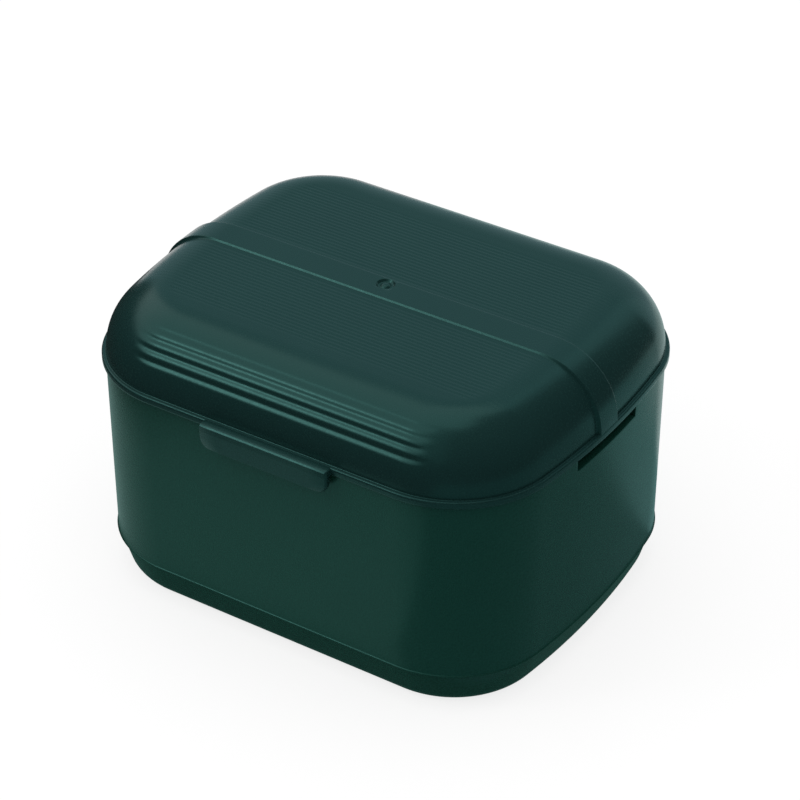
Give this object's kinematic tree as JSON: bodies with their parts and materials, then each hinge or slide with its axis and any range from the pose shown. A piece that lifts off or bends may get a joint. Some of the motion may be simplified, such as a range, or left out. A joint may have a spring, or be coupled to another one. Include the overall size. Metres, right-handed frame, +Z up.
{
  "type": "retainer cleaning case",
  "caption": "Hinged moulded case with a domed lid, front finger tab and vent notches, holding a lift-out strainer basket with a swing handle for soaking and carrying a dental retainer.",
  "frame": {"origin": "middle of the case's flat underside, in line with the gate mark in the middle of the lid", "axes": "+X across the width to the right seen from the front, -Y the front with the finger tab, +Y the back with the hinges, +Z up"},
  "size_m": [0.093, 0.082, 0.058],
  "materials": {
    "case_plastic": "satin moulded polypropylene, dark green",
    "basket_plastic": "natural moulded polypropylene, milky white",
    "pin_steel": "drawn stainless wire"
  },
  "bodies": {
    "tub": {"tub": "case_plastic", "hinge_pin_left": "pin_steel", "hinge_pin_right": "pin_steel"},
    "lid": {"lid": "case_plastic"},
    "basket": {"strainer_basket": "basket_plastic"},
    "handle": {"basket_handle": "basket_plastic"}
  },
  "joints": [
    {"name": "lid_hinge", "type": "hinge", "parent": "tub", "child": "lid", "pos_m": [0, 0.0405, 0.0442], "axis": [-1, 0, 0], "range_deg": [0, 110]},
    {"name": "basket_lift", "type": "slide", "parent": "tub", "child": "basket", "axis": [0, 0, 1], "range_m": [0, 0.031]},
    {"name": "handle_swing", "type": "hinge", "parent": "basket", "child": "handle", "pos_m": [0, 0, 0.0334], "axis": [-1, 0, 0], "range_deg": [0, 90]}
  ],
  "couplings": [
    {"joint": "basket_lift", "follows": "lid_hinge", "m_per_rad": 0.016},
    {"joint": "handle_swing", "follows": "lid_hinge", "ratio": 0.8181}
  ]
}
